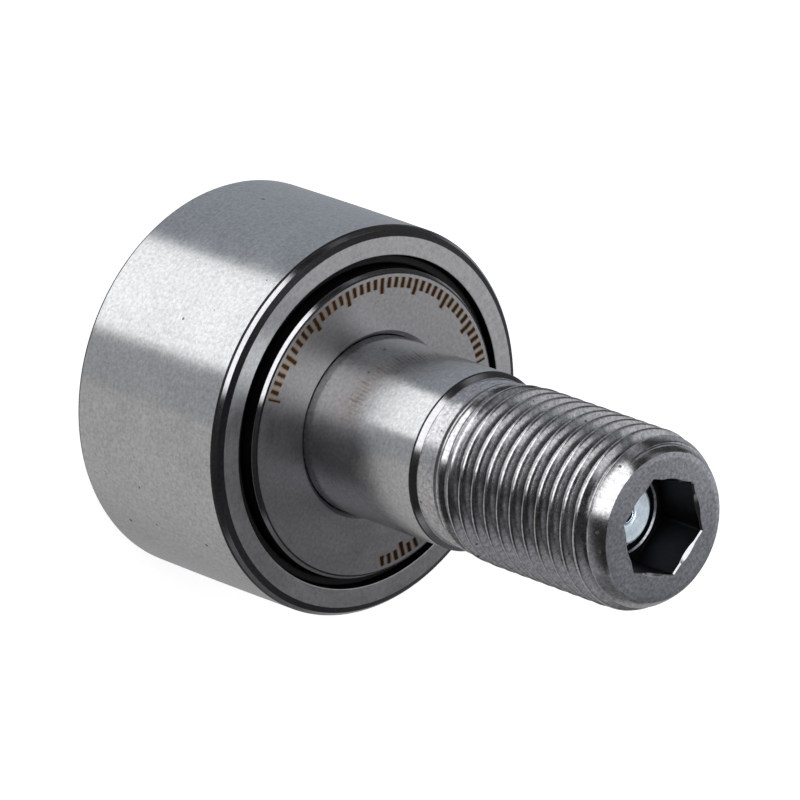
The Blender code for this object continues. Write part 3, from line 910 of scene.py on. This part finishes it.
def ticks_and_painted_reflection(n, colour, place, radius):
    """A plain graduation burnt into the washer's face, and a painted dark reflection of the shank beside it.

    The ticks are brown and lie on two arcs; every fifth is longer.
    """
    turned_place = n.add("ShaderNodeMapping", {
        "Vector": place,
        "Rotation": (0, 0, -math.radians(TICK_MIDDLE)),
    }).outputs[0]
    parts = n.add("ShaderNodeSeparateXYZ", {0: turned_place}).outputs
    radius = n.math("DIVIDE", radius, MM)
    angle = n.math("MULTIPLY", n.math("ARCTAN2", parts[1], parts[0]), math.degrees(1))
    unevenness = n.math("SUBTRACT", n.noise(place, TICK_WOBBLE_SCALE / MM, 2.0, 0.6), 0.5)
    wobble = n.math("MULTIPLY", unevenness, TICK_WOBBLE)
    count = n.math("DIVIDE", angle, TICK_PITCH)
    offset = n.math("SUBTRACT", count, n.math("ROUND", count))
    away = n.math("MULTIPLY", n.math("MULTIPLY", offset, radius), math.radians(TICK_PITCH))
    away = n.math("ADD", n.math("ABSOLUTE", away), wobble)
    # 0 at a long tick, and 1 or more at the others.
    from_long = n.math("PINGPONG", n.math("ROUND", count), TICKS_TO_LONG_ONE / 2)
    inner = n.step(from_long, 0.4, 0.6, TICK_LONG_RADIUS, TICK_SHORT_RADIUS)
    inside = n.math(
        "MULTIPLY",
        n.step(radius, inner, n.math("ADD", inner, TICK_END_SOFTNESS)),
        n.step(radius, TICK_OUTER_RADIUS, TICK_OUTER_RADIUS - TICK_END_SOFTNESS),
    )
    arc = n.window(angle, -TICK_SPAN / 2, TICK_SPAN / 2, TICK_ARC_SOFTNESS)
    short_arc = n.window(angle, *TICK_SHORT_ARC, TICK_ARC_SOFTNESS)
    up = n.step(parts[2], *(height * MM for height in TICK_HEIGHTS))
    inside = n.math("MULTIPLY", n.math("MULTIPLY", inside, n.math("MAXIMUM", arc, short_arc)), up)
    # Painted reflection of the shank: the washer's face is darker over this arc.
    reflection_arc = n.window(angle, *PAINTED_REFLECTION_ARC, PAINTED_REFLECTION_SOFTNESS)
    painted_reflection = n.math("MULTIPLY", reflection_arc, n.step(parts[2], *(height * MM for height in PAINTED_REFLECTION_HEIGHTS)))
    colour = n.mix(n.math("MULTIPLY", painted_reflection, PAINTED_REFLECTION_STRENGTH), colour, PAINTED_REFLECTION_COLOUR)
    core, halo = (
        n.math("MULTIPLY", n.step(away, TICK_WIDTH * outside, TICK_WIDTH * full), inside)
        for outside, full in (TICK_CORE, TICK_HALO)
    )
    return n.mix(core, n.mix(halo, colour, TICK_HALO_COLOUR), TICK_CORE_COLOUR)


def black_plastic(name):
    material, n, shader = new_material(name)
    place = n.add("ShaderNodeTexCoord").outputs["Object"]
    grain = n.noise(place, PLASTIC_GRAIN_SCALE / MM, 3.0, 0.6)
    cloud = n.noise(place, PLASTIC_CLOUD_SCALE / MM, 2.0, 0.5)
    n.set(shader.inputs["Base Color"], n.mix(cloud, PLASTIC_DARK, PLASTIC_LIGHT))
    n.set(shader.inputs["Roughness"], n.step(grain, 0.2, 0.8, *PLASTIC_ROUGHNESS))
    add_relief(n, shader, grain, PLASTIC_RELIEF)
    return material


# ---------------------------------------------------------------- studio


def relative_direction(n):
    """Azimuth from the camera's side, anticlockwise, and elevation of a world direction, in degrees."""
    mapping = n.add("ShaderNodeMapping", {
        "Vector": n.add("ShaderNodeTexCoord").outputs["Generated"],
        "Rotation": (0, 0, -math.radians(CAMERA_AZIMUTH)),
    })
    parts = n.add("ShaderNodeSeparateXYZ", {0: mapping.outputs[0]}).outputs
    azimuth = n.math("MULTIPLY", n.math("ARCTAN2", parts[1], parts[0]), math.degrees(1))
    elevation = n.math("MULTIPLY", n.math("ARCSINE", parts[2]), math.degrees(1))
    return azimuth, elevation


# Patches of the studio's light: a label, the azimuths and the elevations that it covers, how soft
# its edges are, its colour and its strength. Azimuths count from the camera's side and run from
# -180 to 180, elevations from -90 to 90; a limit beyond those leaves the patch no edge there.
STUDIO_BASE = (0.31, 0.31, 0.32)
STUDIO = [
    ("fill", (30, 220), (-100, -14), (4, 12), (1.0, 0.98, 0.96), 0.50),
    ("fill_far", (110, 220), (-100, -14), (35, 12), (1.0, 0.98, 0.96), 0.38),
    ("edge", (0, 30), (-100, -14), (3, 12), (0.96, 0.98, 1.0), 0.42),
    ("behind", (-220, -62), (-100, -14), (7, 12), (0.92, 0.98, 1.07), 0.37),
    ("behind_right", (160, 400), (-100, -14), (20, 12), (0.92, 0.98, 1.07), 0.37),
    ("left", (-150, -88), (-12, 18), (8, 5), (1.0, 1.0, 1.0), 0.06),
    ("right", (88, 150), (-12, 18), (8, 5), (1.0, 1.0, 1.0), 0.14),
    ("back_left", (-400, -150), (18, 70), (12, 8), (1.0, 1.0, 1.03), 0.13),
    ("back_right", (140, 400), (18, 70), (12, 8), (1.0, 1.0, 1.03), 0.13),
    ("upper", (-150, -50), (26, 66), (12, 8), (0.96, 0.98, 1.04), 0.22),
    ("top", (-70, 80), (60, 100), (10, 5), (1.0, 1.0, 1.0), 0.02),
    ("camera", (-88, 88), (10, 62), (8, 6), (1.0, 1.0, 1.0), 0.03),
    ("horizon", (-70, 30), (-18, 10), (5, 4), (1.0, 1.0, 1.0), 0.12),
    ("window", (-98, -60), (50, 72), (6, 5), (1.0, 1.0, 1.0), 0.9),
    ("key", (-62, 0), (-100, -18), (5, 4), (1.0, 1.0, 1.0), 1.38),
    ("key_high", (-58, 10), (8, 58), (5, 4), (1.0, 1.0, 1.0), 2.0),
]


def make_world():
    """The studio that the metal reflects; the camera itself sees plain white."""
    world = bpy.data.worlds.new("studio")
    bpy.context.scene.world = world
    world.use_nodes = True
    n = Nodes(world.node_tree)
    background = world.node_tree.nodes["Background"]
    azimuth, elevation = relative_direction(n)
    colour = n.add("ShaderNodeCombineXYZ", enumerate(STUDIO_BASE)).outputs[0]
    for _, sides, heights, soft, tint, strength in STUDIO:
        inside = n.math(
            "MULTIPLY",
            n.window(azimuth, *sides, soft[0]),
            n.window(elevation, *heights, soft[1]),
        )
        colour = n.mix(inside, colour, tuple(channel * strength for channel in tint) + (1.0,))
    seen = n.add("ShaderNodeLightPath").outputs["Is Camera Ray"]
    n.set(background.inputs["Color"], n.mix(seen, colour, (1.0, 1.0, 1.0, 1.0)))


def make_floor():
    """A plain pale floor; the metal reflects the studio round it instead of the floor."""
    mesh = bpy.data.meshes.new("floor")
    half = FLOOR_HALF_WIDTH * MM
    corners = [(-half, -half, 0), (half, -half, 0), (half, half, 0), (-half, half, 0)]
    mesh.from_pydata(corners, [], [(0, 1, 2, 3)])
    floor = link(bpy.data.objects.new("floor", mesh))
    floor.location.z = CAD_BOX[0].z - FLOOR_GAP * MM
    material, _, shader = new_material("floor")
    shader.inputs["Base Color"].default_value = FLOOR_COLOUR
    shader.inputs["Roughness"].default_value = 1.0
    shader.inputs["Specular IOR Level"].default_value = 0.0
    shader.inputs["Emission Color"].default_value = (1, 1, 1, 1)
    shader.inputs["Emission Strength"].default_value = FLOOR_GLOW
    mesh.materials.append(material)
    floor.visible_glossy = False
    floor.visible_shadow = False


def make_socket_light():
    """A narrow light straight down the stud's axis, for the grease nipple at the socket's bottom."""
    _, high = node_box("nipple_body")
    data = bpy.data.lights.new("socket_light", "SPOT")
    data.energy = SOCKET_LIGHT_POWER
    data.spot_size = 2 * math.atan(SOCKET_LIGHT_RADIUS / SOCKET_LIGHT_HEIGHT)
    data.spot_blend = SOCKET_LIGHT_BLEND
    data.shadow_soft_size = SOCKET_LIGHT_SIZE * MM
    light = link(bpy.data.objects.new("socket_light", data))
    light.location = (0, 0, (high.z + SOCKET_LIGHT_HEIGHT) * MM)


def make_panel():
    """A softbox close behind the part: it shades the flat faces from one side to the other."""
    azimuth = math.radians(CAMERA_AZIMUTH + PANEL_AZIMUTH)
    _, high = node_box("thrust_washer")
    out = direction(azimuth, math.radians(PANEL_ELEVATION))
    data = bpy.data.lights.new("panel", "AREA")
    data.shape = "RECTANGLE"
    data.size = PANEL_WIDTH * MM
    data.size_y = PANEL_HEIGHT * MM
    data.energy = PANEL_POWER
    light = link(bpy.data.objects.new("panel", data))
    side = Vector((-math.sin(azimuth), math.cos(azimuth), 0))
    up = out.cross(side)
    place = Vector((0, 0, high.z * MM)) + (out * PANEL_DISTANCE + side * PANEL_SHIFT) * MM
    light.matrix_world = placed(place, side, up, out)
    light.visible_camera = False


def make_camera():
    roll = math.radians(CAMERA_ROLL)
    low, high = CAD_BOX
    aim = (low + high) / 2 + Vector(CAMERA_AIM) * MM
    back = direction(math.radians(CAMERA_AZIMUTH), math.radians(CAMERA_ELEVATION))
    level = (Vector((0, 0, 1)) - back * back.z).normalized()
    up = level * math.cos(roll) + level.cross(back) * math.sin(roll)
    right = up.cross(back)
    data = bpy.data.cameras.new("camera")
    data.lens = CAMERA_LENS
    data.sensor_width = CAMERA_SENSOR
    data.clip_start = CAMERA_NEAR * MM
    data.clip_end = CAMERA_FAR * MM
    camera = link(bpy.data.objects.new("camera", data))
    camera.matrix_world = placed(aim + back * CAMERA_DISTANCE * MM, right, up, back)
    bpy.context.scene.camera = camera


def main():
    ground = steel(
        "ground_steel",
        (0.60, 0.61, 0.62),
        0.18,
        anisotropy=0.7,
        speckle=0.45,
        bump=0.2,
        marks=(0.9, 0.5, 0.12),
    )
    side_face = steel("side_face_steel", (0.62, 0.62, 0.64), 0.34, grain=(3.0, 3.0), speckle=0.4)
    # The thread's colour carries painted shade in its grooves.
    thread = steel(
        "thread_steel",
        (0.56, 0.56, 0.58),
        0.18,
        speckle=0.8,
        marks=(0.7, 0.6, 0.13),
        bump=0.15,
        paint=painted_groove_shade,
    )
    end_face = steel(
        "end_face_steel",
        (0.51, 0.525, 0.57),
        0.40,
        grain=(2.0, 3.0),
        speckle=0.9,
        cloud=0.25,
        bump=0.25,
    )
    # Painted shade: nearly black steel inside the stud's bores, pilots and hexagon sockets.
    socket = steel("recess_painted_shade", (0.02, 0.02, 0.022), 0.5)
    # Blackened steel on the chamfers, and painted shade on the ring's counterbore walls and round the
    # washer's outside.
    dark = steel("blackened_steel_and_painted_shade", (0.06, 0.06, 0.065), 0.35, speckle=0.5)
    edge = steel("edge_steel", (0.46, 0.46, 0.48), 0.13, grain=(3.0, 4.0), speckle=0.3, bump=0.05)
    # The washer's colour carries the burnt ticks and a painted dark reflection of the shank.
    washer = steel("washer_steel", (0.50, 0.50, 0.52), 0.36, grain=(3.0, 4.0), speckle=0.4, paint=ticks_and_painted_reflection)
    zinc = steel("zinc", (0.72, 0.82, 0.90), 0.55, grain=(2.0, 4.0), cloud=0.6)
    bright = steel("bright_steel", (0.72, 0.73, 0.75), 0.12, speckle=0.05)
    cage = steel("cage_steel", (0.42, 0.40, 0.37), 0.45)
    plastic = black_plastic("black_plastic")
    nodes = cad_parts

    steels = [ground, thread, end_face, socket, side_face, edge, dark]
    piece("stud_fine", stud_mesh(), steels, ["stud"], "stud")
    piece("outer_ring_fine", ring_mesh(), steels, ["outer_ring"], "roller")
    piece("thrust_washer_fine", washer_mesh(), [washer, dark, edge], ["thrust_washer"], "stud")
    for name, side in (("seal_ring_head", -1), ("seal_ring_stud", 1)):
        piece(name + "_fine", seal_mesh(name, side), [plastic], [name], "roller")
    piece("nipple_body_fine", nipple_mesh(), [zinc], ["nipple_body"], "stud")
    piece("nipple_ball_fine", ball_mesh(), [bright], ["nipple_ball"], "nipple_ball")
    spring = piece("nipple_spring_fine", spring_mesh(), [bright], ["nipple_spring"], "stud")
    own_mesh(spring)
    nodes["needle_cage"].material_slots[0].material = cage
    for name in sorted(nodes):
        if name.startswith("needle_") and name != "needle_cage":
            piece(name + "_fine", needle_mesh(name), [bright], [name], name)

    make_world()
    make_floor()
    make_socket_light()
    make_panel()
    make_camera()
    bpy.context.scene.view_settings.view_transform = "Standard"


main()
